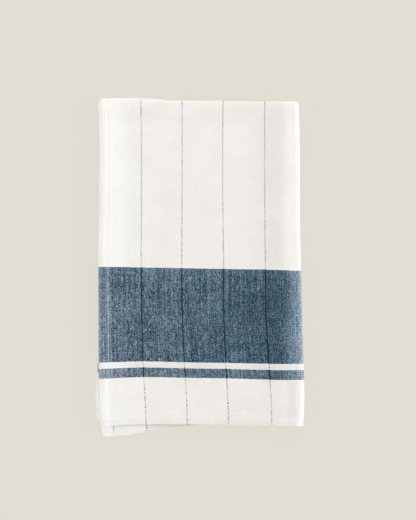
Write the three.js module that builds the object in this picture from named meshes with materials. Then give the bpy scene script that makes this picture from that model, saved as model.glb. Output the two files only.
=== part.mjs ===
// A woven cotton tea towel, folded in half across its length and then in half across its width,
// and lying flat. It is one piece of cloth: its hems are turned to the back and stitched down, so
// they are a thicker border of the same solid.
//
// Units are millimetres. X runs from the open side edges to the long fold, Y from the hemmed ends
// to the short folds, and Z up from the table. The origin is under the middle of the folded towel.
//
// Four layers lie on each other. The top and bottom ones are the outer layers of the long fold,
// and the second and third ones are the inner layers. The first and second are joined by one short
// fold, the third and fourth by the other.

import * as THREE from "three";

// The flat towel. u runs across it from the side edge that ends on top, and v along it from the
// end that ends on top.
const WIDTH = 445;
const LENGTH = 700;
const CLOTH = 1;
const HEM_WIDTH = 11.5;
const HEM_THICKNESS = 1.5;
const HEM_SLOPE = 0.8; // the hem's inner edge falls to the cloth over this width

// The long fold, at the right, along the middle stripe.
const LONG_FOLD_U = WIDTH / 2;
const LONG_FOLD_BULGE = 6.6; // how far its outer layer bulges sideways
const OUTER_QUARTER = 8.5; // cloth in a quarter turn of the outer layer
const INNER_QUARTER = 2.8; // and of the inner layer
const QUARTER_EVENS_OUT = 0.35; // near the short folds both are the outer one, over this share

// The short folds, at the top.
const SHORT_FOLD_V = 351.7;
const SHORT_FOLD_BULGE = 2.5;
const CORNER_WIDTH = 4.2; // the corners beside the short folds are rounded off over this width
const CORNER_DEPTH = 2.8;
const CORNER_LENGTH = 0.04; // share of the length over which the cloth makes up for it
const SHORT_QUARTER = 3.7;

// Heights. Two layers joined by a short fold are a pair, and the two pairs lie face to face.
const PAIR_AT_HEM = 1.7; // half the height of a pair
const PAIR_IN_FIELD = 1.35;
const PAIR_AT_SHORT_FOLD = 2;
const PAIRS_APART_AT_HEM = 1;
const PAIRS_APART_IN_FIELD = 0.9;
const PAIRS_APART_AT_CREST = 2.1; // the crest runs beside the long fold
const FALL_AT_LONG_FOLD = 0.9;
const LEAST_GAP = 0.5;
const SIDE_HEMS = { from: -104, to: -68 }; // x over which the stack falls from the hems to the field
const END_HEMS = { from: -152, to: -128 }; // and the same in y
const CREST = { from: 66, to: 88 }; // x over which it rises to the crest
const PAST_CREST = { from: 87, to: 107 }; // and over which it falls again
const SHORT_FOLD_SWELL = { from: 155, to: 177 }; // y over which it rises to the short folds
const TOP_LAYER_DROOP = 2.8; // where the top layer's end overhangs the shorter second layer
const DROOP_LENGTH = 6.5;
const HELD_UP = { from: 0.6, to: 0.95 }; // shares of the way to the long fold, which holds the end up

// Soft ridges and troughs in the stack: middle, half widths and lift.
const RIDGES = [
  { x: -86, y: 70, half_x: 16, half_y: 130, lift: 0.4 },
  { x: -60, y: -150, half_x: 26, half_y: 22, lift: 0.4 },
  { x: -18, y: -70, half_x: 30, half_y: 60, lift: -0.25 },
  { x: 12, y: 120, half_x: 36, half_y: 44, lift: 0.35 },
  { x: 40, y: -140, half_x: 24, half_y: 30, lift: 0.4 },
  { x: 74, y: 30, half_x: 12, half_y: 170, lift: -0.3 },
];

// How the top layer lies. Each row is a line across it, v from its end, and says at which x its
// side edge, its four woven stripes and the long fold's tangent cross that line.
const LINES_ACROSS = [
  { v: 0, edge: -107.2, one: -58.5, two: -14.0, three: 30.6, four: 77.5, fold: 104.9 },
  { v: 27, edge: -108.6, one: -59.6, two: -14.6, three: 29.9, four: 76.7, fold: 106.1 },
  { v: 70, edge: -109.3, one: -62.0, two: -17.4, three: 27.6, four: 74.5, fold: 105.3 },
  { v: 114, edge: -110.4, one: -63.2, two: -19.3, three: 25.7, four: 71.5, fold: 103.7 },
  { v: 163, edge: -110.5, one: -63.8, two: -19.9, three: 25.5, four: 70.7, fold: 102.8 },
  { v: 228, edge: -109.7, one: -63.6, two: -19.7, three: 24.6, four: 70.0, fold: 101.4 },
  { v: 293, edge: -108.9, one: -63.5, two: -19.5, three: 24.3, four: 69.8, fold: 101.3 },
  { v: 348, edge: -110.4, one: -64.0, two: -19.5, three: 24.6, four: 69.8, fold: 100.1 },
];
// The same columns as shares of the way from the side edge to the long fold's tangent.
const ACROSS = { edge: 0, one: 0.208, two: 0.416, three: 0.624, four: 0.832, fold: 1 };

// The same for y: each row is a thread across the towel, v from its end, and says at which y it
// crosses those columns, and one more a tenth of the way across.
const ALONG = { edge: 0, tenth: 0.1, one: 0.208, two: 0.416, three: 0.624, four: 0.832, fold: 1 };
const LINES_ALONG = [
  { v: 0, edge: -173.1, tenth: -170.8, one: -169.9, two: -170.1, three: -170.5, four: -171.0, fold: -171.7 },
  { v: 51, edge: -120.2, tenth: -118.9, one: -118.2, two: -119.0, three: -119.5, four: -121.0, fold: -121.2 },
  { v: 68, edge: -102.2, tenth: -101.6, one: -101.0, two: -102.0, three: -102.7, four: -103.6, fold: -103.6 },
  { v: 170, edge: 1.4, tenth: 1.3, one: 0.8, two: 0.0, three: -0.9, four: -1.6, fold: -2.6 },
  { v: 348, edge: 180.3, tenth: 180.0, one: 178.8, two: 178.1, three: 177.5, four: 177.1, fold: 176.9 },
];
const FLAT_LENGTH = SHORT_FOLD_V - SHORT_QUARTER;

// Where the side edges of the three lower layers lie, to the right of the top layer's.
const SIDE_SHIFTS = [
  { v: 0, second: -4.9, third: 2.0, fourth: 1.0 },
  { v: 27, second: -4.7, third: 2.5, fourth: 1.5 },
  { v: 70, second: -2.1, third: 2.5, fourth: 2.0 },
  { v: 114, second: 1.0, third: 2.5, fourth: 2.5 },
  { v: 348, second: 0.0, third: 8.0, fourth: 8.0 },
];

// How far their ends lie above the top layer's end, and the lower short fold above the upper one,
// at shares of the way from the side edge to the long fold.
const END_SHIFTS = [
  { share: 0, second: 6.5, third: 8.0, fourth: -11.0, lower_fold: 0.9 },
  { share: 0.1, second: 6.5, third: 7.5, fourth: -12.0, lower_fold: 1.3 },
  { share: 0.22, second: 6.5, third: 7.0, fourth: -7.7, lower_fold: 2.4 },
  { share: 0.33, second: 6.5, third: 6.5, fourth: -3.8, lower_fold: 1.2 },
  { share: 0.45, second: 6.5, third: 6.5, fourth: -1.8, lower_fold: -0.3 },
  { share: 0.56, second: 6.5, third: 6.5, fourth: 0.8, lower_fold: -1.0 },
  { share: 1, second: 6.5, third: 6.5, fourth: 0, lower_fold: 0 },
];

// Grid lines of the solid, from a side edge to the long fold and from an end to a short fold.
const HEM_STEPS = [0, 2, 6, HEM_WIDTH, HEM_WIDTH + HEM_SLOPE];
const SIDE_STEPS = [...HEM_STEPS, 18, 25, 34, 46, 62, 80, 100, 121, 142, 162, 178, 189, 197, 205];
const END_STEPS = [...HEM_STEPS, 18, 26, 36, 50, 68, 92, 120, 152, 186, 220, 254, 286, 312, 328, 338];
const LONG_FOLD_STEPS = 10;
const SHORT_FOLD_STEPS = 6;

const clamp = THREE.MathUtils.clamp;
const lerp = THREE.MathUtils.lerp;

function rise(from, to, value) {
  return THREE.MathUtils.smoothstep(value, from, to);
}

// The share that each node of a smooth curve through unevenly spaced nodes has in its value at x.
function shares(nodes, x) {
  const last = nodes.length - 1;
  const i = clamp(nodes.findIndex((n) => n > x) - 1, 0, last - 1);
  const cell = x >= nodes[last] ? last - 1 : i;
  const step = nodes[cell + 1] - nodes[cell];
  const s = clamp((x - nodes[cell]) / step, 0, 1);
  const result = new Array(nodes.length).fill(0);
  result[cell] += (1 + 2 * s) * (1 - s) ** 2;
  result[cell + 1] += s * s * (3 - 2 * s);
  const slope = (node, weight) => {
    const before = Math.max(node - 1, 0);
    const after = Math.min(node + 1, last);
    const each = (weight * step) / (nodes[after] - nodes[before]);
    result[after] += each;
    result[before] -= each;
  };
  slope(cell, s * (1 - s) ** 2);
  slope(cell + 1, s * s * (s - 1));
  return result;
}

// A table's value at row position `at` and column position `across`.
function tableValue(rows, columns, at, across) {
  const rowShares = shares(rows.map((row) => row.v), at);
  const names = Object.keys(columns);
  const columnShares = shares(Object.values(columns), across);
  let total = 0;
  rows.forEach((row, r) => {
    names.forEach((name, c) => {
      total += rowShares[r] * columnShares[c] * row[name];
    });
  });
  return total;
}

// One named column of a table at a position given by its key column.
function columnValue(rows, key, name, at) {
  const rowShares = shares(rows.map((row) => row[key]), at);
  return rows.reduce((total, row, r) => total + rowShares[r] * row[name], 0);
}

// A layer's shift from the top layer: inner is 1 on the second and third layers and 0 on the first
// and fourth, and upper is 1 on the first and second and 0 on the others.
function layerShift(rows, key, at, inner, upper) {
  const value = (name) => columnValue(rows, key, name, at);
  return lerp(lerp(value("fourth"), value("third"), inner), inner * value("second"), upper);
}

// 0 where the hems are stacked and 1 in the field.
function inField(x, y) {
  return rise(SIDE_HEMS.from, SIDE_HEMS.to, x) * rise(END_HEMS.from, END_HEMS.to, y);
}

// Half the height of a pair of layers at a place on the table.
function pairHalf(x, y) {
  const atFold = rise(SHORT_FOLD_SWELL.from, SHORT_FOLD_SWELL.to, y);
  return lerp(lerp(PAIR_AT_HEM, PAIR_IN_FIELD, inField(x, y)), PAIR_AT_SHORT_FOLD, atFold);
}

// The gap between the two pairs at a place on the table.
function pairsApart(x, y) {
  const lift = RIDGES.reduce(
    (sum, r) => sum + r.lift * Math.exp(-(((x - r.x) / r.half_x) ** 2) - ((y - r.y) / r.half_y) ** 2),
    0,
  );
  const flat = lerp(PAIRS_APART_AT_HEM, PAIRS_APART_IN_FIELD + lift, inField(x, y));
  const swollen = lerp(Math.max(flat, LEAST_GAP), PAIRS_APART_AT_CREST, rise(CREST.from, CREST.to, x));
  return swollen - FALL_AT_LONG_FOLD * rise(PAST_CREST.from, PAST_CREST.to, x);
}

// The place of a point of the towel's right side, where its pattern is seen.
function rightSide(u, v) {
  // The short fold turns the layer over: side goes from 1 on an outer layer to -1 on an inner one.
  const tangentV = SHORT_FOLD_V - SHORT_QUARTER;
  const shortTurn = clamp((v - tangentV) / (2 * SHORT_QUARTER), 0, 1) * Math.PI;
  const side = Math.cos(shortTurn);
  const fromEnd = v < SHORT_FOLD_V ? v / tangentV : (LENGTH - v) / (LENGTH - SHORT_FOLD_V - SHORT_QUARTER);
  const along = Math.min(fromEnd, 1);

  // The long fold turns the pair over: upper goes from 1 on the upper pair to 0 on the lower one.
  const inner = (1 - side) / 2;
  const slack = rise(0, QUARTER_EVENS_OUT, 1 - along);
  const quarter = lerp(OUTER_QUARTER, INNER_QUARTER, inner * slack);
  const tangentU = LONG_FOLD_U - quarter;
  const longTurn = clamp((u - tangentU) / (2 * quarter), 0, 1) * Math.PI;
  const upper = (1 + Math.cos(longTurn)) / 2;
  const fromSide = u < LONG_FOLD_U ? u / tangentU : (WIDTH - u) / (WIDTH - LONG_FOLD_U - quarter);
  const across = Math.min(fromSide, 1);

  // Its place seen from above, if it did not bulge at the folds.
  const at = along * FLAT_LENGTH;
  const sideShift = layerShift(SIDE_SHIFTS, "v", at, inner, upper);
  const endShift = layerShift(END_SHIFTS, "share", across, inner, upper);
  const foldShift = (1 - upper) * columnValue(END_SHIFTS, "share", "lower_fold", across);
  const x = tableValue(LINES_ACROSS, ACROSS, at, across) + sideShift * (1 - across ** 2);
  const y = tableValue(LINES_ALONG, ALONG, at, across) + lerp(endShift, foldShift, along);

  // Its height, and how far it stands out at the folds.
  const half = pairHalf(x, y);
  const gap = pairsApart(x, y);
  const middle = 2 * half + gap / 2;
  const radius = half + gap / 2 + half * side;
  const free = (1 - rise(0, DROOP_LENGTH, v)) * (1 - rise(HELD_UP.from, HELD_UP.to, across));
  const droop = upper * (1 - inner) * TOP_LAYER_DROOP * free;
  const bulge = (Math.sin(longTurn) * radius) / middle;

  // The corners beside the short folds are rounded off.
  const toFold = LONG_FOLD_BULGE * (1 - bulge) + (1 - across) * LONG_FOLD_U;
  const cut = clamp(1 - Math.min(across * LONG_FOLD_U, toFold) / CORNER_WIDTH, 0, 1);
  const corner = CORNER_DEPTH * cut ** 2 * rise(1 - CORNER_LENGTH, 1, along);
  return new THREE.Vector3(
    x + LONG_FOLD_BULGE * bulge,
    y + SHORT_FOLD_BULGE * Math.sin(shortTurn) - corner,
    middle + radius * Math.cos(longTurn) - droop,
  );
}

// The thickness of the cloth, which is more within the hems.
function thickness(u, v) {
  const fromEdge = Math.min(u, WIDTH - u, v, LENGTH - v);
  return lerp(HEM_THICKNESS, CLOTH, rise(HEM_WIDTH, HEM_WIDTH + HEM_SLOPE, fromEdge));
}

// The place of the wrong side under the same point, one thickness in.
function wrongSide(u, v) {
  const near = 0.05;
  const acrossStep = rightSide(Math.min(u + near, WIDTH), v).sub(rightSide(Math.max(u - near, 0), v));
  const alongStep = rightSide(u, Math.min(v + near, LENGTH)).sub(rightSide(u, Math.max(v - near, 0)));
  const outward = acrossStep.cross(alongStep).normalize();
  return rightSide(u, v).addScaledVector(outward, -thickness(u, v));
}

// Grid lines from one edge, through the fold, to the other edge.
function gridLines(steps, size, fold, quarter, foldSteps) {
  const lines = [...steps];
  for (let i = 0; i <= foldSteps; i += 1) {
    lines.push(fold - quarter + (2 * quarter * i) / foldSteps);
  }
  return [...lines, ...steps.map((s) => size - s).reverse()];
}

// The closed surface of the sheet: its right side, its wrong side and the rim between them.
function sheetGeometry() {
  const us = gridLines(SIDE_STEPS, WIDTH, LONG_FOLD_U, OUTER_QUARTER, LONG_FOLD_STEPS);
  const vs = gridLines(END_STEPS, LENGTH, SHORT_FOLD_V, SHORT_QUARTER, SHORT_FOLD_STEPS);
  const positions = [];
  for (const surface of [rightSide, wrongSide]) {
    for (const v of vs) {
      for (const u of us) {
        positions.push(...surface(u, v).toArray());
      }
    }
  }
  const columns = us.length;
  const wrongStart = columns * vs.length;
  const faces = [];
  for (let j = 0; j + 1 < vs.length; j += 1) {
    for (let i = 0; i + 1 < columns; i += 1) {
      const a = j * columns + i;
      const b = a + 1;
      const c = b + columns;
      const d = a + columns;
      faces.push(a, b, c, a, c, d);
      const [e, f, g, h] = [a, b, c, d].map((k) => k + wrongStart);
      faces.push(e, g, f, e, h, g);
    }
  }
  const lastColumn = columns - 1;
  const lastRow = vs.length - 1;
  const rim = [
    ...us.slice(0, lastColumn).map((_, i) => i),
    ...vs.slice(0, lastRow).map((_, j) => j * columns + lastColumn),
    ...us.slice(0, lastColumn).map((_, i) => lastRow * columns + lastColumn - i),
    ...vs.slice(0, lastRow).map((_, j) => (lastRow - j) * columns),
  ];
  rim.forEach((a, k) => {
    const b = rim[(k + 1) % rim.length];
    faces.push(b, a, a + wrongStart, b, a + wrongStart, b + wrongStart);
  });
  const geometry = new THREE.BufferGeometry();
  geometry.setAttribute("position", new THREE.Float32BufferAttribute(positions, 3));
  geometry.setIndex(faces);
  return geometry;
}

// The sheet, moved so that the origin is under the middle of the folded towel.
function centredSheet() {
  const geometry = sheetGeometry();
  geometry.computeBoundingBox();
  const middle = geometry.boundingBox.getCenter(new THREE.Vector3());
  geometry.translate(-middle.x, -middle.y, 0);
  geometry.computeVertexNormals();
  return geometry;
}

const cotton = new THREE.MeshStandardMaterial({ color: 0xf0ede8, roughness: 0.9, metalness: 0 });
const towel = new THREE.Mesh(centredSheet(), cotton);
towel.name = "towel";

const group = new THREE.Group();
group.add(towel);
export default group;
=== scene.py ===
from math import pi

import bpy
import numpy as np
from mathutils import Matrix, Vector


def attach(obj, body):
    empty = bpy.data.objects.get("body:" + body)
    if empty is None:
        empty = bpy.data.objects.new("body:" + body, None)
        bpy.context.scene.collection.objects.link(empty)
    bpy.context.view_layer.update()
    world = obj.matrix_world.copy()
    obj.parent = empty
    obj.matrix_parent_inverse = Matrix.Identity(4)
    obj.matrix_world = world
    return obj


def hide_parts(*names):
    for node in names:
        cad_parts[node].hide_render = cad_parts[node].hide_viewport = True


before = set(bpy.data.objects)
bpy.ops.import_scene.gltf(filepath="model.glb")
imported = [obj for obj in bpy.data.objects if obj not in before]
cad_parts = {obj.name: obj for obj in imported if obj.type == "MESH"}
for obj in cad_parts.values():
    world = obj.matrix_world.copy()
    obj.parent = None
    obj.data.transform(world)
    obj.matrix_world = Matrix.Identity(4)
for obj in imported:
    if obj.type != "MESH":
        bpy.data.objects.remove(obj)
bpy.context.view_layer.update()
bpy.ops.object.select_all(action="DESELECT")

# A woven cotton tea towel, folded in half across its length and then in half across its width,
# with turned and stitched hems. Sizes are in millimetres until a mesh is made.
MM = 0.001

# The flat cloth. u runs across it from the side edge that ends on top, v along it from the end
# that ends on top.
WIDTH = 445.0
LENGTH = 700.0
CLOTH = 0.85
HEM_WIDTH = 11.5
HEM_THICKNESS = 1.45
HEM_STEP = 0.5
HEM_EDGE_FALL = 0.4
HEM_FALL_REACH = 7.5
SEAM_FROM_EDGE = 10.0
SEAM_DIP = 0.16
SEAM_HALF_WIDTH = 0.8

# The woven pattern.
STRIPE_SPACING = WIDTH / 10
STRIPE_WIDTH = 1.42
STRIPE_SOFTNESS = 0.06
STRIPE_WOBBLE = 0.18
STRIPE_FREE_EDGE = 20
DASH_PITCH = 2.7
SHORTEST_DASH = 0.75
LONGEST_DASH = 1.5
NARROW_BAND = (50.6, 60.9)
WIDE_BAND = (67.4, 169.3)
BAND_RAGGEDNESS = 0.35
YARN_PITCH = 0.74

# The long fold, along the middle stripe.
LONG_FOLD_U = WIDTH / 2
LONG_FOLD_BULGE = 6.6
OUTER_QUARTER = 8.5
INNER_QUARTER = 2.8
QUARTER_EVENS_OUT = 0.35

# The short folds.
SHORT_FOLD_V = 351.7
SHORT_FOLD_BULGE = 2.5
SHORT_QUARTER = 3.7
FLAT_LENGTH = SHORT_FOLD_V - SHORT_QUARTER

# The rounded corners, beside the short folds and of the cloth itself.
CORNER_WIDTH = 4.2
CORNER_DEPTH = 2.8
CORNER_LENGTH = 0.04
HEM_CORNER = 5.0
HEM_CORNER_INSET = 0.9
HEM_CORNER_POWER = 1.5

# Heights: two layers joined by a short fold are a pair, and the two pairs lie face to face.
PAIR_AT_HEM = 1.7
PAIR_IN_FIELD = 1.35
PAIR_AT_SHORT_FOLD = 2.0
PAIRS_APART_AT_HEM = 1.0
PAIRS_APART_IN_FIELD = 0.9
PAIRS_APART_AT_CREST = 2.5
FALL_AT_LONG_FOLD = 1.3
LEAST_GAP = 0.5
SIDE_HEMS = (-104, -68)
END_HEMS = (-152, -128)
CREST = (66, 88)
PAST_CREST = (87, 107)
SHORT_FOLD_SWELL = (155, 177)
TOP_LAYER_DROOP = 2.8
DROOP_LENGTH = 6.5
HELD_UP = (0.6, 0.95)

# Soft ridges and troughs: middle x and y, half width and half length, lift.
RIDGES = [
    (-86, 70, 16, 130, 0.4),
    (-60, -150, 26, 22, 0.4),
    (-18, -70, 30, 60, -0.25),
    (12, 120, 36, 44, 0.35),
    (40, -140, 24, 30, 0.4),
    (74, 30, 12, 170, -0.3),
]

# How the top layer lies: x of its side edge, its four stripes and the long fold's tangent, on
# threads v from its end.
ACROSS = [0, 0.208, 0.416, 0.624, 0.832, 1]
LINES_ACROSS = {
    0: [-107.2, -58.5, -14.0, 30.6, 77.5, 104.9],
    27: [-108.6, -59.6, -14.6, 29.9, 76.7, 106.1],
    70: [-109.9, -62.0, -17.4, 27.6, 74.5, 105.3],
    114: [-110.1, -63.2, -19.3, 25.7, 71.5, 103.7],
    163: [-110.3, -63.8, -19.9, 25.5, 70.7, 102.8],
    228: [-109.7, -63.6, -19.7, 24.6, 70.0, 101.4],
    293: [-108.9, -63.5, -19.5, 24.3, 69.8, 101.3],
    348: [-110.4, -64.0, -19.5, 24.6, 69.8, 100.1],
}
# And y of its threads across, at the edge, a tenth of the way in, the stripes and the fold.
ALONG = [0, 0.1, 0.208, 0.416, 0.624, 0.832, 1]
LINES_ALONG = {
    0: [-173.1, -170.8, -169.9, -170.1, -170.5, -171.0, -171.7],
    51: [-120.2, -118.9, -118.2, -119.0, -119.5, -121.0, -121.2],
    68: [-102.2, -101.6, -101.0, -102.0, -102.7, -103.6, -103.6],
    170: [1.4, 1.3, 0.8, 0.0, -0.9, -1.6, -2.6],
    348: [180.3, 180.0, 178.8, 177.8, 177.5, 177.1, 176.9],
}
# The side edges of the second, third and fourth layers, to the right of the top layer's.
SIDE_SHIFTS = {
    0: [-4.9, 2.0, 1.0],
    27: [-4.7, 2.5, -0.8],
    70: [-0.3, 3.1, 2.6],
    114: [1.0, 2.5, 2.5],
    348: [0.0, 8.0, 8.0],
}
# The ends of the same layers above the top layer's end, and the lower short fold above the upper.
END_SHIFTS = {
    0: [7.7, 8.0, -11.0, 0.9],
    0.1: [7.0, 7.5, -11.3, 1.3],
    0.2: [6.5, 7.1, -9.1, 2.3],
    0.33: [6.5, 6.5, -3.8, 0.3],
    0.45: [6.5, 6.5, -1.8, -0.3],
    0.56: [6.5, 6.5, 0.8, -1.0],
    1: [6.5, 6.5, 0, 0],
}

# The mesh: threads at a hem, and how finely the field and the folds are divided.
HEM_THREADS = [
    0, 0.08, 0.25, 0.5, 0.72, 1.6, 3.5, 5.5, 7.5, 9,
    9.6, 10, 10.4, 11, 11.5, 11.75, 12, 13, 15,
]
THREAD_SPACING = 3.4
LONG_FOLD_STEPS = 16
SHORT_FOLD_STEPS = 12
SLOPE_STEP = 0.05


def rise(bounds, value):
    """From 0 at the first bound to 1 at the second, smoothly."""
    s = np.clip((value - bounds[0]) / (bounds[1] - bounds[0]), 0, 1)
    return s * s * (3 - 2 * s)


def blend(a, b, share):
    return a + (b - a) * share


def shares(nodes, x):
    """Each node's share in a smooth curve's value at x, one row a point."""
    nodes = np.asarray(nodes, float)
    last = len(nodes) - 1
    point = np.arange(len(x))
    cell = np.clip(np.searchsorted(nodes, x, side="right") - 1, 0, last - 1)
    step = nodes[cell + 1] - nodes[cell]
    s = np.clip((x - nodes[cell]) / step, 0, 1)
    result = np.zeros((len(x), last + 1))
    result[point, cell] += (1 + 2 * s) * (1 - s) ** 2
    result[point, cell + 1] += s * s * (3 - 2 * s)
    for node, weight in ((cell, s * (1 - s) ** 2), (cell + 1, s * s * (s - 1))):
        before = np.maximum(node - 1, 0)
        after = np.minimum(node + 1, last)
        slope = weight * step / (nodes[after] - nodes[before])
        result[point, after] += slope
        result[point, before] -= slope
    return result


def table_value(table, columns, at, across):
    """The table's value between its rows and its columns."""
    values = np.array(list(table.values()), float)
    return np.einsum("pr,rc,pc->p", shares(list(table), at), values, shares(columns, across))


def columns_of(table, at):
    """The table's columns at each position, one array a column."""
    return (shares(list(table), at) @ np.array(list(table.values()), float)).T


def in_field(x, y):
    """0 over the stacked hems, 1 over the single cloth between them."""
    return rise(SIDE_HEMS, x) * rise(END_HEMS, y)


def pair_half(x, y):
    """Half the way from one layer of a pair to the other."""
    flat = blend(PAIR_AT_HEM, PAIR_IN_FIELD, in_field(x, y))
    return blend(flat, PAIR_AT_SHORT_FOLD, rise(SHORT_FOLD_SWELL, y))


def pairs_apart(x, y):
    """The way from one pair's near layer to the other's."""
    lift = sum(
        up * np.exp(-(((x - cx) / half_x) ** 2) - ((y - cy) / half_y) ** 2)
        for cx, cy, half_x, half_y, up in RIDGES
    )
    flat = blend(PAIRS_APART_AT_HEM, PAIRS_APART_IN_FIELD + lift, in_field(x, y))
    swollen = blend(np.maximum(flat, LEAST_GAP), PAIRS_APART_AT_CREST, rise(CREST, x))
    return swollen - FALL_AT_LONG_FOLD * rise(PAST_CREST, x)


def folded(u, v):
    """Where a point of the cloth's right side lies, in mm."""
    short_turn = np.clip((v - FLAT_LENGTH) / (2 * SHORT_QUARTER), 0, 1) * pi
    side = np.cos(short_turn)
    upward = v / FLAT_LENGTH
    downward = (LENGTH - v) / (LENGTH - SHORT_FOLD_V - SHORT_QUARTER)
    along = np.minimum(np.where(v < SHORT_FOLD_V, upward, downward), 1)

    inner = (1 - side) / 2
    quarter = blend(OUTER_QUARTER, INNER_QUARTER, inner * rise((0, QUARTER_EVENS_OUT), 1 - along))
    tangent_u = LONG_FOLD_U - quarter
    long_turn = np.clip((u - tangent_u) / (2 * quarter), 0, 1) * pi
    upper = (1 + np.cos(long_turn)) / 2
    rightward = u / tangent_u
    leftward = (WIDTH - u) / (WIDTH - LONG_FOLD_U - quarter)
    across = np.minimum(np.where(u < LONG_FOLD_U, rightward, leftward), 1)

    at = along * FLAT_LENGTH
    second, third, fourth = columns_of(SIDE_SHIFTS, at)
    side_shift = blend(blend(fourth, third, inner), inner * second, upper)
    second, third, fourth, lower_fold = columns_of(END_SHIFTS, across)
    end_shift = blend(blend(fourth, third, inner), inner * second, upper)
    x = table_value(LINES_ACROSS, ACROSS, at, across) + side_shift * (1 - across**2)
    y_shift = blend(end_shift, (1 - upper) * lower_fold, along)
    y = table_value(LINES_ALONG, ALONG, at, across) + y_shift

    half = pair_half(x, y)
    gap = pairs_apart(x, y)
    outer_radius = 2 * half + gap / 2
    radius = half + gap / 2 + half * side
    bulge = np.sin(long_turn) * radius / outer_radius
    free = (1 - rise((0, DROOP_LENGTH), v)) * (1 - rise(HELD_UP, across))
    droop = upper * (1 - inner) * TOP_LAYER_DROOP * free
    # The corners beside the short folds are rounded off in plan.
    from_long_fold = LONG_FOLD_BULGE * (1 - bulge) + (1 - across) * LONG_FOLD_U
    inset = np.minimum(across * LONG_FOLD_U, from_long_fold)
    cut = np.clip(1 - inset / CORNER_WIDTH, 0, 1)
    corner = CORNER_DEPTH * cut**2 * rise((1 - CORNER_LENGTH, 1), along)
    # So, a little, are the corners of the cloth itself.
    near_side = np.clip(1 - np.minimum(u, WIDTH - u) / HEM_CORNER, 0, 1)
    near_end = np.clip(1 - np.minimum(v, LENGTH - v) / HEM_CORNER, 0, 1)
    rounding = HEM_CORNER_INSET * near_side**HEM_CORNER_POWER * near_end**HEM_CORNER_POWER
    return np.stack(
        [
            x + LONG_FOLD_BULGE * bulge + rounding,
            y + SHORT_FOLD_BULGE * np.sin(short_turn) - corner + rounding,
            outer_radius + radius * np.cos(long_turn) - droop,
        ],
        axis=-1,
    )


def outward(u, v):
    """The direction the right side faces."""
    step = SLOPE_STEP
    step_u = folded(np.minimum(u + step, WIDTH), v) - folded(np.maximum(u - step, 0), v)
    step_v = folded(u, np.minimum(v + step, LENGTH)) - folded(u, np.maximum(v - step, 0))
    normal = np.cross(step_u, step_v)
    return normal / np.linalg.norm(normal, axis=-1, keepdims=True)


def from_edge(u, v):
    return np.minimum(np.minimum(u, WIDTH - u), np.minimum(v, LENGTH - v))


def faces_of_cloth(u, v):
    """The right and wrong sides' places and the outward direction, in mm."""
    s = from_edge(u, v)
    thick = blend(HEM_THICKNESS, CLOTH, rise((HEM_WIDTH, HEM_WIDTH + HEM_STEP), s))
    nose = np.clip(s / (thick / 2), 0, 1)
    half = thick / 2 * np.sqrt(1 - (1 - nose) ** 2)
    dip = SEAM_DIP * np.exp(-(((s - SEAM_FROM_EDGE) / SEAM_HALF_WIDTH) ** 2))
    dip = dip + HEM_EDGE_FALL * (1 - rise((0, HEM_FALL_REACH), s)) * rise((0, 1), nose)
    middle = folded(u, v)
    normal = outward(u, v)
    right = middle - normal * (thick / 2 - half + dip)[..., None]
    wrong = middle - normal * (thick / 2 + half - dip)[..., None]
    return right, wrong, normal


def lines_of_mesh(size, fold, quarter, fold_steps):
    """Thread positions, close together at the hems and round the fold."""
    ends = []
    for reach in (fold - quarter, size - fold - quarter):
        count = round((reach - HEM_THREADS[-1]) / THREAD_SPACING)
        field = np.linspace(HEM_THREADS[-1], reach, count + 1)[1:]
        ends.append(HEM_THREADS + list(field))
    turn = list(np.linspace(fold - quarter, fold + quarter, fold_steps + 1)[1:-1])
    return np.array(ends[0] + turn + [size - s for s in reversed(ends[1])])


def add_mesh(name, points, faces, material):
    mesh = bpy.data.meshes.new(name)
    mesh.from_pydata((points * MM).tolist(), [], faces.tolist())
    mesh.materials.append(material)
    mesh.polygons.foreach_set("use_smooth", np.ones(len(mesh.polygons), bool))
    mesh.update()
    piece = bpy.data.objects.new(name, mesh)
    bpy.context.scene.collection.objects.link(piece)
    return piece


def make_cloth(material):
    us = lines_of_mesh(WIDTH, LONG_FOLD_U, OUTER_QUARTER, LONG_FOLD_STEPS)
    vs = lines_of_mesh(LENGTH, SHORT_FOLD_V, SHORT_QUARTER, SHORT_FOLD_STEPS)
    columns, rows = len(us), len(vs)
    v, u = (a.ravel() for a in np.meshgrid(vs, us, indexing="ij"))
    right, wrong, _ = faces_of_cloth(u, v)
    # Both sides share the points of the rim, which closes the sheet.
    index = np.arange(rows * columns).reshape(rows, columns)
    rim = np.ones((rows, columns), bool)
    rim[1:-1, 1:-1] = False
    back = np.where(rim.ravel(), index.ravel(), 0)
    inside = np.flatnonzero(~rim.ravel())
    back[inside] = rows * columns + np.arange(len(inside))
    back = back.reshape(rows, columns)
    points = np.concatenate([right, wrong[inside]])
    front_faces = np.stack([index[:-1, :-1], index[:-1, 1:], index[1:, 1:], index[1:, :-1]], -1)
    back_faces = np.stack([back[:-1, :-1], back[1:, :-1], back[1:, 1:], back[:-1, 1:]], -1)
    faces = np.concatenate([front_faces.reshape(-1, 4), back_faces.reshape(-1, 4)])
    cloth = add_mesh("cotton_cloth", points, faces, material)
    plan = np.stack([np.concatenate([u, u[inside]]), np.concatenate([v, v[inside]])], -1) * MM
    side = np.repeat([0.0, 1.0], faces.size // 2)
    for name, values in (
        ("thread_plan", plan[faces.ravel()]),
        ("cloth_side", np.stack([side, side], -1)),
    ):
        layer = cloth.data.uv_layers.new(name=name)
        layer.data.foreach_set("uv", values.astype(np.float32).ravel())
    return cloth


STITCH_PITCH = 2.9
STITCH_LENGTH = 2.5
THREAD_RADIUS = 0.2
THREAD_SIDES = 6
# Rings along a stitch: their places as shares of its length, their size and their height.
RING_PLACES = np.array([-0.5, -0.36, 0, 0.36, 0.5])
RING_SWELL = np.array([0.45, 0.9, 1, 0.9, 0.45])
RING_HEIGHT = np.array([-0.16, 0.02, 0.1, 0.02, -0.16])
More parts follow.
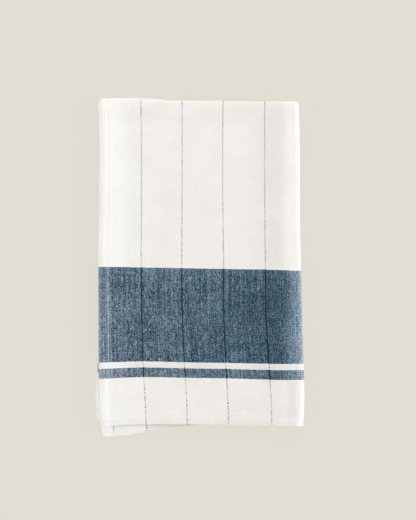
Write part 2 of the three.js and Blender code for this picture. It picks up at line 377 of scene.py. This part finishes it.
# Two faces close each end: the ring, and the order of its points.
END_FACES = ((0, (0, 1, 2, 3)), (0, (0, 3, 4, 5)), (4, (3, 2, 1, 0)), (4, (5, 4, 3, 0)))


def seam_lines():
    """For each hem in turn, u and v of every ring of every stitch."""
    for length, width, lengthwise in ((LENGTH, WIDTH, True), (WIDTH, LENGTH, False)):
        count = int((length - 2 * SEAM_FROM_EDGE) / STITCH_PITCH)
        middles = SEAM_FROM_EDGE + STITCH_PITCH * (np.arange(count) + 0.5)
        run = middles[:, None] + RING_PLACES * STITCH_LENGTH
        for at in (SEAM_FROM_EDGE, width - SEAM_FROM_EDGE):
            cross = np.full(run.shape, at)
            yield (cross, run) if lengthwise else (run, cross)


def make_stitching(material):
    """Both threads of the seam that holds down the four hems."""
    angles = np.arange(THREAD_SIDES) * 2 * pi / THREAD_SIDES
    points, faces = [], []
    total = 0
    for u, v in seam_lines():
        shape = (*u.shape, 3)
        right, wrong, normal = (a.reshape(shape) for a in faces_of_cloth(u.ravel(), v.ravel()))
        for surface, up in ((right, normal), (wrong, -normal)):
            centre = surface + up * RING_HEIGHT[:, None]
            ahead = centre[:, -1:] - centre[:, :1]
            ahead = ahead / np.linalg.norm(ahead, axis=-1, keepdims=True)
            beside = np.cross(ahead, up)
            spread = beside[:, :, None] * np.cos(angles)[:, None]
            spread = spread + up[:, :, None] * np.sin(angles)[:, None]
            ring = centre[:, :, None] + (RING_SWELL * THREAD_RADIUS)[:, None, None] * spread
            index = total + np.arange(ring.size // 3).reshape(ring.shape[:3])
            turned = np.roll(index, -1, axis=2)
            walls = np.stack([index[:, :-1], index[:, 1:], turned[:, 1:], turned[:, :-1]], -1)
            points.append(ring.reshape(-1, 3))
            faces.append(walls.reshape(-1, 4))
            for end, order in END_FACES:
                faces.append(index[:, end][:, list(order)])
            total += index.size
    return add_mesh("hem_stitching", np.concatenate(points), np.concatenate(faces), material)


class Wiring:
    """Short ways to add and join shader nodes."""

    def __init__(self, tree):
        self.tree = tree

    def add(self, kind, **settings):
        node = self.tree.nodes.new(kind)
        for key, value in settings.items():
            setattr(node, key, value)
        return node

    def feed(self, socket, value):
        if isinstance(value, bpy.types.NodeSocket):
            self.tree.links.new(value, socket)
        else:
            socket.default_value = value

    def math(self, operation, *values, clamp=False):
        node = self.add("ShaderNodeMath", operation=operation, use_clamp=clamp)
        for socket, value in zip(node.inputs, values):
            self.feed(socket, value)
        return node.outputs[0]

    def plus(self, a, b):
        return self.math("ADD", a, b)

    def minus(self, a, b):
        return self.math("SUBTRACT", a, b)

    def times(self, a, b):
        return self.math("MULTIPLY", a, b)

    def scaled(self, value, factor, offset):
        return self.math("MULTIPLY_ADD", value, factor, offset)

    def apart(self, a, b):
        return self.math("ABSOLUTE", self.minus(a, b))

    def add_up(self, total, terms):
        """The total with each value added, times its weight."""
        for value, weight in terms:
            total = self.plus(total, self.times(value, weight))
        return total

    def ramp(self, value, low, high, to_low=0.0, to_high=1.0, smooth=True):
        """From 0 where the value is low to 1 where it is high, or between two other numbers."""
        kind = "SMOOTHSTEP" if smooth else "LINEAR"
        node = self.add("ShaderNodeMapRange", interpolation_type=kind)
        for socket, item in zip(node.inputs, (value, low, high, to_low, to_high)):
            self.feed(socket, item)
        return node.outputs[0]

    def bump(self, height, strength, distance):
        node = self.add("ShaderNodeBump")
        self.feed(node.inputs["Height"], height)
        self.feed(node.inputs["Strength"], strength)
        self.feed(node.inputs["Distance"], distance)
        return node.outputs[0]

    def mix(self, share, a, b, blend_type="MIX"):
        node = self.add("ShaderNodeMix", data_type="RGBA", blend_type=blend_type)
        self.feed(node.inputs["Factor"], share)
        self.feed(node.inputs[6], a)
        self.feed(node.inputs[7], b)
        return node.outputs[2]

    def noise(self, vector, scale, detail=2.0, roughness=0.5):
        node = self.add("ShaderNodeTexNoise")
        self.feed(node.inputs["Vector"], vector)
        self.feed(node.inputs["Scale"], scale)
        self.feed(node.inputs["Detail"], detail)
        self.feed(node.inputs["Roughness"], roughness)
        return node.outputs["Fac"]

    def point(self, x, y, z=0.0):
        node = self.add("ShaderNodeCombineXYZ")
        for socket, value in zip(node.inputs, (x, y, z)):
            self.feed(socket, value)
        return node.outputs[0]

    def chance(self, vector):
        node = self.add("ShaderNodeTexWhiteNoise", noise_dimensions="3D")
        self.feed(node.inputs["Vector"], vector)
        return node.outputs["Value"]


def linear(red, green, blue):
    """A display colour, 0 to 255, as a shader colour."""
    parts = [c / 255 for c in (red, green, blue)]
    return (*[c / 12.92 if c <= 0.04045 else ((c + 0.055) / 1.055) ** 2.4 for c in parts], 1)


def plain_weave_group():
    """Over and under threads: their height, and one chance for each crossing, warp and weft."""
    tree = bpy.data.node_groups.new("plain_weave", "ShaderNodeTree")
    for name in ("Across mm", "Along mm", "Pitch mm", "Unevenness"):
        tree.interface.new_socket(name, in_out="INPUT", socket_type="NodeSocketFloat")
    for name in ("Height", "Chance", "Warp Chance", "Weft Chance"):
        tree.interface.new_socket(name, in_out="OUTPUT", socket_type="NodeSocketFloat")
    w = Wiring(tree)
    given = w.add("NodeGroupInput").outputs
    result = w.add("NodeGroupOutput").inputs
    across, along, pitch, uneven = given[0], given[1], given[2], given[3]

    # Threads wander slowly from side to side.
    wander_u = w.noise(w.point(w.times(across, 0.3), w.times(along, 0.05)), 1.0)
    wander_v = w.noise(w.point(w.times(across, 0.05), w.times(along, 0.3), 7.0), 1.0)
    a = w.math("DIVIDE", w.plus(across, w.times(wander_u, uneven)), pitch)
    b = w.math("DIVIDE", w.plus(along, w.times(wander_v, uneven)), pitch)
    warp, weft = w.math("FLOOR", a), w.math("FLOOR", b)

    # Each is round in section, and highest where it lies on top.
    round_a = w.math("SINE", w.times(w.math("FRACT", a), pi))
    round_b = w.math("SINE", w.times(w.math("FRACT", b), pi))
    weft_top = w.math("PINGPONG", w.plus(warp, weft), 1.0)
    warp_top = w.minus(1.0, weft_top)
    warp_height = w.times(round_a, w.scaled(round_b, 0.6, 0.4))
    weft_height = w.times(round_b, w.scaled(round_a, 0.6, 0.4))
    height = w.plus(w.times(warp_top, warp_height), w.times(weft_top, weft_height))

    w.feed(result["Height"], height)
    w.feed(result["Chance"], w.chance(w.point(warp, weft, 1.5)))
    w.feed(result["Warp Chance"], w.chance(w.point(warp, 0.5, 2.5)))
    w.feed(result["Weft Chance"], w.chance(w.point(0.5, weft, 3.5)))
    return tree


def surface_material(name, roughness, sheen, sheen_roughness, specular):
    material = bpy.data.materials.new(name)
    material.use_nodes = True
    w = Wiring(material.node_tree)
    shader = material.node_tree.nodes["Principled BSDF"]
    shader.inputs["Roughness"].default_value = roughness
    shader.inputs["Sheen Weight"].default_value = sheen
    shader.inputs["Sheen Roughness"].default_value = sheen_roughness
    shader.inputs["Specular IOR Level"].default_value = specular
    return material, w, shader.inputs


WHITE_YARN = linear(246, 244, 241)
WHITE_SHADE = linear(218, 214, 209)
COOL_TINT = (0.95, 0.97, 1.0, 1)
BLUE_YARN = linear(14, 42, 58)
BLUE_WITH_WHITE = linear(177, 212, 243)
# The palest blue, where most white shows; it is reached in full on the painted sheen of the long
# fold.
PALEST_BLUE = linear(237, 243, 249)
# Painted shade in the hollow beside the long fold tints the blue with this.
PAINTED_HOLLOW_SHADE = (0.76, 0.84, 0.84, 1)
NAVY_YARN = linear(20, 36, 50)
DARK_STRIPE = linear(8, 28, 41)
# The painted shade in the hems' creases on the wrong side.
CREASE_SHADE = linear(96, 96, 92)

# Where the cloth is paler or darker, most of it painted light and shade: distances in mm at which
# a tone begins and is full.
# From the long fold:
# A painted sheen on the long fold.
FOLD_SHEEN_REACH, FOLD_SHEEN_POWER = (24.0, 2.0), 1.3
# Painted shade in the hollow beside it, in the blue and then in the white.
HOLLOW_NEAR, HOLLOW_FAR = (22.0, 31.0), (58.0, 38.0)
WHITE_HOLLOW_NEAR, WHITE_HOLLOW_FAR = (14.0, 24.0), (68.0, 50.0)
# Painted shade beside the long fold's crest near the ends, and a painted highlight on the crest
# there.
CREST_SHADE_NEAR, CREST_SHADE_FAR = (9.0, 14.0), (30.0, 18.0)
FOLD_HIGHLIGHT_AT_END = (9.0, 5.0)
# From a side edge:
# Painted shade as the light falls off away from the side edge.
LIGHT_FALLOFF_INWARD = (18.0, 170.0)
# Painted shade on the right side's side edge, and painted light further in and at that edge near
# the ends.
SHADED_SIDE_EDGE = (7.0, 0.0)
SIDE_HIGHLIGHT = (40.0, HEM_WIDTH)
SIDE_HIGHLIGHT_AT_END = (60.0, 40.0)
SIDE_HEM_HIGHLIGHT = (HEM_WIDTH + 1.0, 8.0)
# Painted light on the under layers' side edges where the top layer shades them, and a painted
# shadow under its edge further in.
LIT_UNDER_SIDE_EDGE = (7.0, 3.0)
SHADED_INWARD = (36.0, 48.0)
# How far from the side edge the painted shade on the short fold's crest reaches.
TOP_FOLD_SIDE = (50.0, 40.0)
# From an end:
FAR_EDGE_RUB = (WIDE_BAND[1] - 11.0, WIDE_BAND[1])
WHITE_END = (NARROW_BAND[0] + 5.0, NARROW_BAND[0] - 5.0)
# Painted light on the under layers' ends, under the top layer's end.
LIT_UNDER_END = (5.0, 9.0)
# Where the painted shade in the hems' creases starts, from the end.
CREASE_STARTS = (2.0, 7.0)
# From any edge, from the seam, from a hem's inner edge and from the short fold:
HEM_TONE = (HEM_WIDTH + 3.4, HEM_WIDTH)
# Paler blue within a few mm of any edge.
EDGE_PALE_REACH = (3.5, 0.5)
SEAM_TONE_FROM_EDGE, SEAM_TONE = SEAM_FROM_EDGE + 0.7, (2.7, 1.0)
# The painted shade in the creases at the hems' turned edges.
CREASE_FROM_EDGE, CREASE_TONE = HEM_WIDTH + 0.45, (1.5, 0.2)
# A painted highlight on the short fold, and painted shade on its crest.
SHORT_FOLD_HIGHLIGHT, SHADED_SHORT_FOLD = (24.0, 5.0), (9.0, 3.0)


def cotton_cloth_material(weave):
    material, w, shader = surface_material("striped_cotton", 0.82, 0.15, 0.4, 0.3)
    plan = w.add("ShaderNodeUVMap", uv_map="thread_plan").outputs[0]
    parts = w.add("ShaderNodeSeparateXYZ")
    w.feed(parts.inputs[0], plan)
    across = w.times(parts.outputs[0], 1 / MM)
    along = w.times(parts.outputs[1], 1 / MM)
    back = w.add("ShaderNodeUVMap", uv_map="cloth_side").outputs[0]
    woven = w.add("ShaderNodeGroup", node_tree=weave)
    for name, value in (
        ("Across mm", across),
        ("Along mm", along),
        ("Pitch mm", YARN_PITCH),
        ("Unevenness", 0.9),
    ):
        w.feed(woven.inputs[name], value)
    yarn = woven.outputs

    # Places on the cloth. The pattern lies the same way from each end.
    from_fold = w.apart(across, LONG_FOLD_U)
    from_side = w.minus(LONG_FOLD_U, from_fold)
    from_short_fold = w.apart(along, SHORT_FOLD_V)
    from_end = w.math("MINIMUM", along, w.minus(LENGTH, along))
    from_end = w.plus(from_end, w.times(w.minus(yarn["Warp Chance"], 0.5), BAND_RAGGEDNESS))
    edge = w.math("MINIMUM", from_side, from_end)
    right_side = w.minus(1.0, back)
    loose = w.math("LESS_THAN", from_end, (NARROW_BAND[1] + WIDE_BAND[0]) / 2)
    between = w.math("LESS_THAN", from_end, WIDE_BAND[0])
    between = w.times(between, w.math("GREATER_THAN", from_end, NARROW_BAND[1]))
    white_end = w.ramp(from_end, *WHITE_END)
    white_field = w.minus(1.0, white_end)
    band = 0.0
    for low, high in (NARROW_BAND, WIDE_BAND):
        above = w.math("GREATER_THAN", from_end, low)
        below = w.math("LESS_THAN", from_end, high)
        band = w.plus(band, w.times(above, below))

    # How far each place carries painted shade (falling off inward and in the hollow by the long
    # fold), a hem, a pale edge or the painted sheen of the long fold.
    hollow_shade = w.times(w.ramp(from_fold, *HOLLOW_NEAR), w.ramp(from_fold, *HOLLOW_FAR))
    light_falloff_shade = w.scaled(hollow_shade, 0.2, w.ramp(from_side, *LIGHT_FALLOFF_INWARD))
    hemmed = w.ramp(edge, *HEM_TONE)
    edge_pale = w.ramp(edge, *EDGE_PALE_REACH)
    seamed = w.ramp(w.apart(edge, SEAM_TONE_FROM_EDGE), *SEAM_TONE)
    far_edge = w.ramp(from_end, *FAR_EDGE_RUB)
    fold_sheen = w.math("POWER", w.ramp(from_fold, *FOLD_SHEEN_REACH, smooth=False), FOLD_SHEEN_POWER)
    fold_sheen_here = w.times(fold_sheen, w.scaled(loose, -0.45, 1.0))

    def uneven(wide, high, layer, detail=1.0):
        """Noise in patches of about this size in mm. Each layer differs."""
        place = w.point(w.math("DIVIDE", across, wide), w.math("DIVIDE", along, high), layer)
        return w.noise(place, 1.0, detail, 0.6)

    # Blue weft over white warp: streaky along both threads, patchy, with a few dark slubs.
    # First comes how much white shows through.
    streak = uneven(0.75, 9.0, 0.0)
    patch = uneven(30.0, 36.0, 9.0, 3.0)
    slub = w.math("GREATER_THAN", uneven(2.2, 1.6, 17.0), 0.71)
    show = w.scaled(slub, -0.17, 0.145)
    for value, weight in (
        (streak, 0.56),
        (uneven(1.2, 110.0, 2.0), 0.52),
        (uneven(4.0, 0.8, 4.0), 0.42),
        (uneven(70.0, 1.6, 6.0), 0.24),
        (patch, 0.25),
        (yarn["Chance"], 0.4),
        (yarn["Height"], 0.1),
    ):
        show = w.plus(show, w.times(w.minus(value, 0.5), weight))

    # Painted shade darkens the blue away from the side edge and in the hollow beside the long
    # fold. A painted sheen makes it paler on that fold, and it is paler over the hems.
    show = w.math("MAXIMUM", w.scaled(light_falloff_shade, -0.03, show), 0.0)
    show = w.times(show, w.scaled(light_falloff_shade, -0.17, 1.0))
    show = w.times(show, w.scaled(fold_sheen_here, 0.6, 1.0))
    show = w.add_up(
        show,
        (
            (fold_sheen_here, 0.25),
            (hemmed, 0.08),
            (seamed, 0.042),
            (edge_pale, 0.17),
            (loose, 0.092),
            (w.times(loose, light_falloff_shade), -0.035),
            (far_edge, 0.05),
        ),
    )
    blue = w.mix(show, BLUE_YARN, w.mix(show, BLUE_WITH_WHITE, PALEST_BLUE))

    # Its hue drifts, mostly in how red it is.
    hue = w.times(w.minus(uneven(11.0, 16.0, 12.0, 2.0), 0.5), 0.65)
    # It is less red where painted shade outweighs the painted sheen, and painted shade tints the
    # hollow by the long fold.
    shade_over_sheen = w.math("SUBTRACT", light_falloff_shade, fold_sheen, clamp=True)
    red = w.plus(w.scaled(shade_over_sheen, -0.1, 1.0), hue)
    red = w.scaled(loose, 0.04, red)
    bluer = w.scaled(loose, -0.05, w.scaled(hue, 0.3, 1.0))
    blue = w.mix(1.0, blue, w.point(red, 1.0, bluer), "MULTIPLY")
    blue = w.mix(hollow_shade, blue, PAINTED_HOLLOW_SHADE, "MULTIPLY")

    # Turned cloth is whiter than a single thickness. On the white, painted highlights lighten the
    # folds, and painted light and shade fall as marked below.
    # Painted shade in the white, in the hollow beside the long fold.
    white_hollow_shade = w.times(w.ramp(from_fold, *WHITE_HOLLOW_NEAR), w.ramp(from_fold, *WHITE_HOLLOW_FAR))
    # Painted shade beside the long fold's crest near the ends.
    crest_shade_near_end = w.times(w.ramp(from_fold, *CREST_SHADE_NEAR), w.ramp(from_fold, *CREST_SHADE_FAR))
    # Painted shade along the side edge of the right side.
    side_edge_shade = w.times(w.ramp(from_side, *SHADED_SIDE_EDGE), right_side)
    # Painted shade on the short fold's crest near the side edge.
    short_fold_shade = w.times(
        w.ramp(from_short_fold, *SHADED_SHORT_FOLD), w.ramp(from_side, *TOP_FOLD_SIDE)
    )
    whiteness = w.add_up(
        w.scaled(yarn["Height"], 0.4, w.times(yarn["Chance"], 0.25)),
        (
            (patch, 0.5),
            (streak, 0.35),
            (hemmed, 0.08),
            # Painted light near the side edge, more near the ends, and painted shade on the side
            # edge itself.
            (w.times(w.ramp(from_side, *SIDE_HIGHLIGHT), white_field), 0.3),
            (w.times(side_edge_shade, w.scaled(white_end, -0.35, 1.0)), -0.5),
            (w.times(w.ramp(from_side, *SIDE_HEM_HIGHLIGHT), white_end), 0.3),
            (w.times(w.ramp(from_side, *SIDE_HIGHLIGHT_AT_END), white_end), 0.12),
            # Painted shade in the hollow by the long fold and beside its crest near the ends, and
            # a painted highlight on that crest.
            (w.times(white_hollow_shade, white_field), -0.14),
            (w.times(crest_shade_near_end, white_end), -0.32),
            (w.times(w.ramp(from_fold, *FOLD_HIGHLIGHT_AT_END), white_end), 0.2),
            # On the wrong side: painted light where the top layer shades the under layers, and a
            # painted shadow under its edge.
            (w.times(w.ramp(across, *LIT_UNDER_SIDE_EDGE), back), 0.6),
            (w.times(w.ramp(from_side, *SHADED_INWARD), back), -0.45),
            (w.times(w.ramp(from_end, *LIT_UNDER_END), back), 0.2),
            # Painted shade as the light falls off inward.
            (light_falloff_shade, -0.08),
            (loose, -0.05),
            # Painted light over the whole wrong side.
            (back, 0.25),
            # A painted highlight on the long fold.
            (fold_sheen, 0.2),
            # A painted highlight on the short fold, and painted shade on its crest near the side.
            (w.ramp(from_short_fold, *SHORT_FOLD_HIGHLIGHT), 0.06),
            (short_fold_shade, -0.08),
            (between, -0.06),
        ),
    )
    white = w.mix(w.minus(whiteness, 0.25), WHITE_SHADE, WHITE_YARN)
    white = w.mix(between, white, COOL_TINT, "MULTIPLY")

    # Fine stripes: a navy yarn that floats in short dashes, and runs dark through the blue.
    number = w.math("ROUND", w.math("DIVIDE", across, STRIPE_SPACING))
    aside = w.apart(across, w.times(number, STRIPE_SPACING))
    wobble = w.times(w.minus(yarn["Weft Chance"], 0.5), STRIPE_WOBBLE)
    outer, inner = STRIPE_WIDTH / 2 + STRIPE_SOFTNESS, STRIPE_WIDTH / 2 - STRIPE_SOFTNESS
    inside = w.math("LESS_THAN", from_fold, LONG_FOLD_U - STRIPE_FREE_EDGE)
    stripe = w.times(w.ramp(w.plus(aside, wobble), outer, inner), inside)
    drawn = w.scaled(uneven(20.0, 14.0, 21.0), 3.0, w.plus(along, wobble))
    dashes = w.math("DIVIDE", drawn, DASH_PITCH)
    chance = w.chance(w.point(number, w.math("FLOOR", dashes), 5.5))
    length = w.scaled(chance, LONGEST_DASH - SHORTEST_DASH, SHORTEST_DASH)
    dash = w.math("LESS_THAN", w.times(w.math("FRACT", dashes), DASH_PITCH), length)
    dotted = w.times(w.times(stripe, dash), w.scaled(chance, 0.25, 0.58))
    white = w.mix(dotted, white, NAVY_YARN)
    blue = w.mix(w.times(stripe, w.scaled(dash, 0.1, 0.9)), blue, DARK_STRIPE)

    # On the wrong side, painted shade darkens the creases at the turned edges of the hems.
    crease_shadow = 0.0
    for distance, strength in ((from_side, 0.5), (from_end, 0.1)):
        line = w.ramp(w.apart(distance, CREASE_FROM_EDGE), *CREASE_TONE)
        crease_shadow = w.math("MAXIMUM", crease_shadow, w.times(line, strength))
    crease_shadow = w.times(crease_shadow, w.times(w.ramp(from_end, *CREASE_STARTS), back))
    w.feed(shader["Base Color"], w.mix(crease_shadow, w.mix(band, white, blue), CREASE_SHADE))

    fuzz = w.noise(w.point(w.times(across, 2.2), w.times(along, 2.2)), 1.0, 3.0)
    relief = w.plus(yarn["Height"], w.scaled(streak, 0.5, w.times(fuzz, 0.5)))
    w.feed(shader["Normal"], w.bump(relief, 0.55, 0.00012))
    w.feed(shader["Roughness"], w.ramp(yarn["Height"], 0.0, 1.0, 0.9, 0.76, smooth=False))
    return material


def thread_material():
    material, w, shader = surface_material("white_sewing_thread", 0.6, 0.1, 0.4, 0.4)
    place = w.add("ShaderNodeTexCoord").outputs["Object"]
    shade, bright = linear(214, 215, 214), linear(236, 236, 234)
    w.feed(shader["Base Color"], w.mix(w.noise(place, 900.0), shade, bright))
    ply = w.add("ShaderNodeTexWave", wave_type="BANDS", bands_direction="DIAGONAL")
    w.feed(ply.inputs["Vector"], place)
    w.feed(ply.inputs["Scale"], 1200.0)
    w.feed(shader["Normal"], w.bump(ply.outputs["Fac"], 0.4, 0.00004))
    return material


weave = plain_weave_group()
cloth = make_cloth(cotton_cloth_material(weave))
stitching = make_stitching(thread_material())
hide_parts("towel")
for piece in (cloth, stitching):
    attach(piece, "root")


# The table, the light and the camera.
TABLE_COLOUR = linear(225, 221, 210)
TABLE_SIZE = 16.0
TABLE_HEIGHT = -0.0002
TABLE_GLOW = 0.88
LIT_SHARE = 0.12


def make_table():
    material = bpy.data.materials.new("pale_table")
    material.use_nodes = True
    shader = material.node_tree.nodes["Principled BSDF"]
    shader.inputs["Base Color"].default_value = (*[LIT_SHARE * c for c in TABLE_COLOUR[:3]], 1)
    shader.inputs["Roughness"].default_value = 1.0
    shader.inputs["Specular IOR Level"].default_value = 0.0
    shader.inputs["Emission Color"].default_value = TABLE_COLOUR
    shader.inputs["Emission Strength"].default_value = TABLE_GLOW
    bpy.ops.mesh.primitive_plane_add(size=TABLE_SIZE, location=(0, 0, TABLE_HEIGHT))
    bpy.ops.object.transform_apply(location=True)
    table = bpy.context.object
    table.name = "table_top"
    table.data.materials.append(material)
    return table


def add_lamp(name, place, size, power, colour):
    """A panel of light that faces the middle of the table."""
    lamp = bpy.data.lights.new(name, "AREA")
    lamp.shape = "RECTANGLE"
    lamp.size, lamp.size_y = size
    lamp.energy = power
    lamp.color = colour
    holder = bpy.data.objects.new(name, lamp)
    holder.location = place
    bpy.context.scene.collection.objects.link(holder)
    inward = Vector((0, 0, 0)) - Vector(place)
    holder.rotation_euler = inward.to_track_quat("-Z", "Y").to_euler()


table_top = make_table()
add_lamp("right_lamp", (2.4, -0.1, 0.75), (1.6, 0.7), 47.0, (0.975, 1.0, 1.02))
add_lamp("left_lamp", (-2.4, 0.1, 0.9), (1.6, 0.7), 26.0, (1.0, 1.0, 1.0))
add_lamp("far_lamp", (0.0, 1.9, 0.6), (1.4, 0.6), 17.5, (1.0, 1.0, 1.0))
add_lamp("near_lamp", (0.0, -1.9, 0.6), (1.4, 0.6), 9.0, (1.0, 1.0, 1.0))

world = bpy.data.worlds.new("studio")
bpy.context.scene.world = world
world.use_nodes = True
sky = world.node_tree.nodes["Background"].inputs
sky["Color"].default_value = (1.0, 0.992, 0.98, 1)
sky["Strength"].default_value = 0.585

# The camera looks straight down. The view's long side is measured at this level over the table.
VIEW_HEIGHT = 563.2
VIEW_LEVEL = 5.0
VIEW_MIDDLE = (8.4, 8.1)
LENS = 85.0
SENSOR = 36.0
camera_data = bpy.data.cameras.new("overhead")
camera_data.lens = LENS
camera_data.sensor_width = SENSOR
camera_data.sensor_height = SENSOR
camera_data.sensor_fit = "AUTO"
camera = bpy.data.objects.new("overhead", camera_data)
camera.location = (
    VIEW_MIDDLE[0] * MM,
    VIEW_MIDDLE[1] * MM,
    (VIEW_LEVEL + VIEW_HEIGHT * LENS / SENSOR) * MM,
)
bpy.context.scene.collection.objects.link(camera)
bpy.context.scene.camera = camera
bpy.context.scene.view_settings.view_transform = "Standard"
